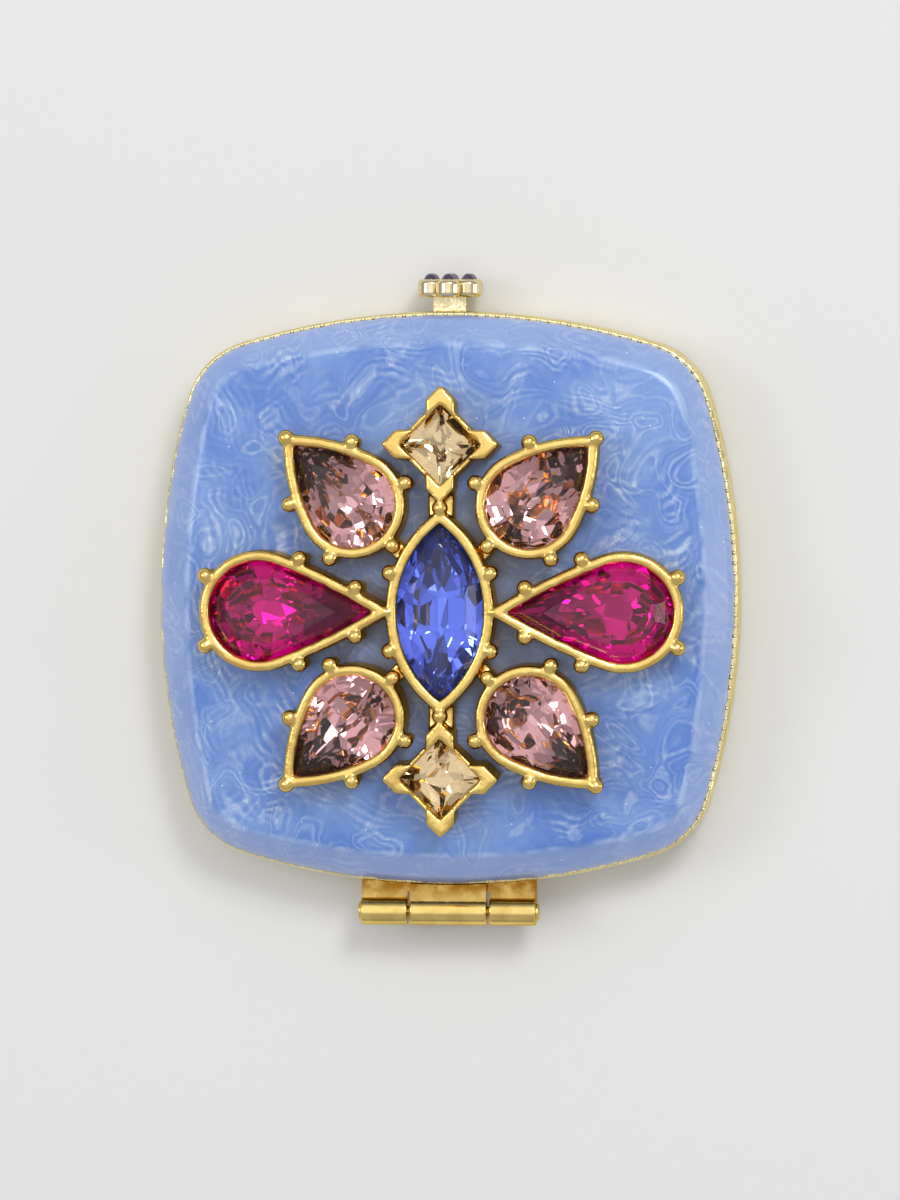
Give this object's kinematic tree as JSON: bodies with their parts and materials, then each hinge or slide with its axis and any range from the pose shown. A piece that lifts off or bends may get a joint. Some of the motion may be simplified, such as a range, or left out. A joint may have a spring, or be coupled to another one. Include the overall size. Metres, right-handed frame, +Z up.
{
  "type": "compact mirror",
  "caption": "Cushion-shaped compact mirror with an enamelled lid, a raised jewelled setting, a mirror in each half, a rear hinge and a push-button catch.",
  "frame": {"origin": "middle of the flat underside of the base, below the middle of the case outline", "axes": "+Z up through the lid, +Y towards the hinge, -Y towards the push button, +X to the right seen from the button side"},
  "size_m": [0.0644, 0.0723, 0.0173],
  "materials": {
    "gold_case": "satin gold plate",
    "gold_setting": "polished yellow gold plate",
    "gold_inner": "brushed gold plate",
    "enamel": "glossy pearl swirl",
    "mirror_glass": "silvered glass",
    "card_pad": "matt foam board",
    "pin_steel": "drawn wire",
    "stone_blue": "foiled faceted glass",
    "stone_amethyst": "foiled faceted glass",
    "stone_ruby": "foiled faceted glass",
    "stone_champagne": "foiled faceted glass",
    "bead_dark": "glossy cabochon glass"
  },
  "bodies": {
    "base": {"base_shell": "gold_case", "base_frame": "gold_inner", "base_mirror": "mirror_glass", "base_mirror_pad": "card_pad", "hinge_base_leaf": "gold_case", "hinge_pin": "pin_steel", "catch_guide_left": "gold_inner", "catch_guide_right": "gold_inner", "spring_seat": "gold_inner", "catch_spring": "pin_steel"},
    "lid": {"lid_shell": "gold_case", "lid_enamel": "enamel", "lid_frame": "gold_inner", "lid_mirror": "mirror_glass", "lid_mirror_pad": "card_pad", "hinge_lid_leaf": "gold_case", "lid_hook": "gold_inner", "jewel_setting": "gold_setting", "stone_navette": "stone_blue", "stone_pear_back_right": "stone_amethyst", "stone_pear_back_left": "stone_amethyst", "stone_pear_front_right": "stone_amethyst", "stone_pear_front_left": "stone_amethyst", "stone_drop_right": "stone_ruby", "stone_drop_left": "stone_ruby", "stone_square_back": "stone_champagne", "stone_square_front": "stone_champagne"},
    "clasp_button": {"catch_slide": "gold_case", "button_head": "gold_case", "button_beads": "bead_dark"}
  },
  "joints": [
    {"name": "lid_hinge", "type": "hinge", "parent": "base", "child": "lid", "pos_m": [0, 0.0348, 0.00613], "axis": [-1, 0, 0], "range_deg": [0, 130]},
    {"name": "clasp_press", "type": "slide", "parent": "base", "child": "clasp_button", "axis": [0, 1, 0], "range_m": [0, 0.001], "stiffness_N_per_m": 600, "springref_m": -0.001, "deforming": ["catch_spring"]}
  ]
}
